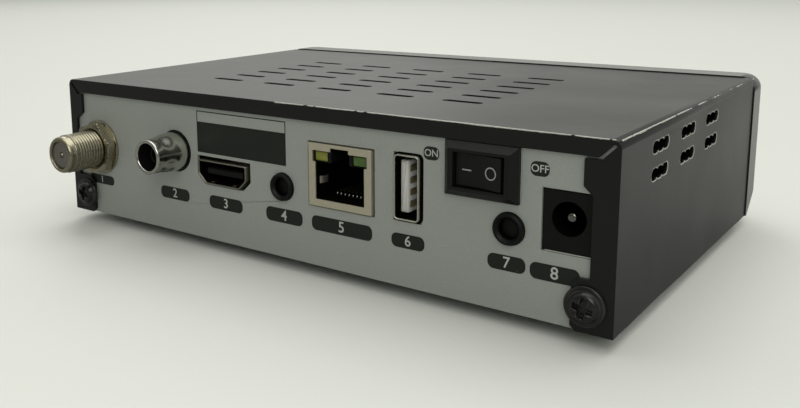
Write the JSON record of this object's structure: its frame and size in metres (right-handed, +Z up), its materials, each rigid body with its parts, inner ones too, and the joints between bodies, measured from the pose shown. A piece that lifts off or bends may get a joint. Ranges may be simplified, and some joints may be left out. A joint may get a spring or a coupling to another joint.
{
  "type": "satellite television receiver",
  "caption": "Small flat satellite television receiver with a folded black steel cover, a grey rear wall full of sockets, a rocker power switch and a moulded front with keys.",
  "frame": {"origin": "middle of the footprint, on the surface that the rubber feet stand on", "axes": "+Z up, +Y out of the rear wall with the sockets, +X towards the aerial socket's end"},
  "size_m": [0.1456, 0.115, 0.0376],
  "materials": {
    "black_paint": "black semi-gloss paint on folded sheet steel",
    "zinc_sheet": "grey satin zinc-plated sheet steel",
    "dark_plastic": "dark grey glossy moulded front",
    "smoked_plastic": "smoked clear plastic window",
    "green_board": "green lacquered circuit board",
    "black_plastic": "fine matt black moulding",
    "key_plastic": "satin dark key caps",
    "bright_nickel": "bright nickel plate",
    "tin_plate": "warm tin plate, slightly dull",
    "gold_plate": "thin gold plate on springs",
    "white_plastic": "off-white moulded insulator",
    "yellow_lens": "yellow translucent lamp lens",
    "green_lens": "green translucent lamp lens",
    "red_lens": "red translucent lamp lens",
    "black_steel": "black plated screw heads",
    "plain_steel": "zinc-plated small screws and posts",
    "soft_rubber": "soft black rubber",
    "finned_aluminium": "plain extruded aluminium",
    "can_sleeve": "dark plastic sleeve on the cans"
  },
  "bodies": {
    "case": {"av_jack": "black_plastic", "base_chassis": "zinc_sheet", "board_posts": "plain_steel", "board_screws": "plain_steel", "capacitors": "can_sleeve", "coax_barrel": "bright_nickel", "coax_contact": "gold_plate", "coax_core": "white_plastic", "coax_nut": "bright_nickel", "coax_washer": "bright_nickel", "cover_screws": "black_steel", "crystal_can": "bright_nickel", "data_jack": "black_plastic", "dc_pin": "bright_nickel", "dc_socket": "black_plastic", "digit_display": "black_plastic", "display_window": "smoked_plastic", "front_bezel": "dark_plastic", "front_board": "green_board", "front_board_screws": "plain_steel", "hdmi_shell": "tin_plate", "hdmi_tongue": "black_plastic", "heat_sink": "finned_aluminium", "link_header": "black_plastic", "main_board": "green_board", "main_chip": "black_plastic", "memory_chip": "black_plastic", "net_lamp_green": "green_lens", "net_lamp_yellow": "yellow_lens", "net_moulding": "black_plastic", "net_shield": "tin_plate", "net_wires": "gold_plate", "network_isolator": "black_plastic", "power_coils": "black_plastic", "rca_contact": "bright_nickel", "rca_moulding": "black_plastic", "rca_shell": "bright_nickel", "remote_eye": "black_plastic", "rubber_feet": "soft_rubber", "standby_lamp": "red_lens", "store_chip": "black_plastic", "switch_frame": "black_plastic", "switch_terminals": "tin_plate", "tact_switch_1": "black_plastic", "tact_switch_2": "black_plastic", "tact_switch_3": "black_plastic", "top_cover": "black_paint", "tuner_can": "tin_plate", "tuner_lid": "tin_plate", "usb_shell": "tin_plate", "usb_strips": "gold_plate", "usb_tongue": "white_plastic"},
    "standby_key": {"standby_key": "key_plastic"},
    "channel_down_key": {"channel_down_key": "key_plastic"},
    "channel_up_key": {"channel_up_key": "key_plastic"},
    "rocker": {"switch_rocker": "black_plastic"}
  },
  "joints": [
    {"name": "standby_key_press", "type": "slide", "parent": "case", "child": "standby_key", "axis": [0, 1, 0], "range_m": [0, 0.0005], "stiffness_N_per_m": 400, "springref_m": -0.0005},
    {"name": "channel_down_key_press", "type": "slide", "parent": "case", "child": "channel_down_key", "axis": [0, 1, 0], "range_m": [0, 0.0005], "stiffness_N_per_m": 400, "springref_m": -0.0005},
    {"name": "channel_up_key_press", "type": "slide", "parent": "case", "child": "channel_up_key", "axis": [0, 1, 0], "range_m": [0, 0.0005], "stiffness_N_per_m": 400, "springref_m": -0.0005},
    {"name": "rocker_tilt", "type": "hinge", "parent": "case", "child": "rocker", "pos_m": [-0.047, 0.04465, 0.0287], "axis": [0, 0, 1], "range_deg": [0, 12]}
  ]
}
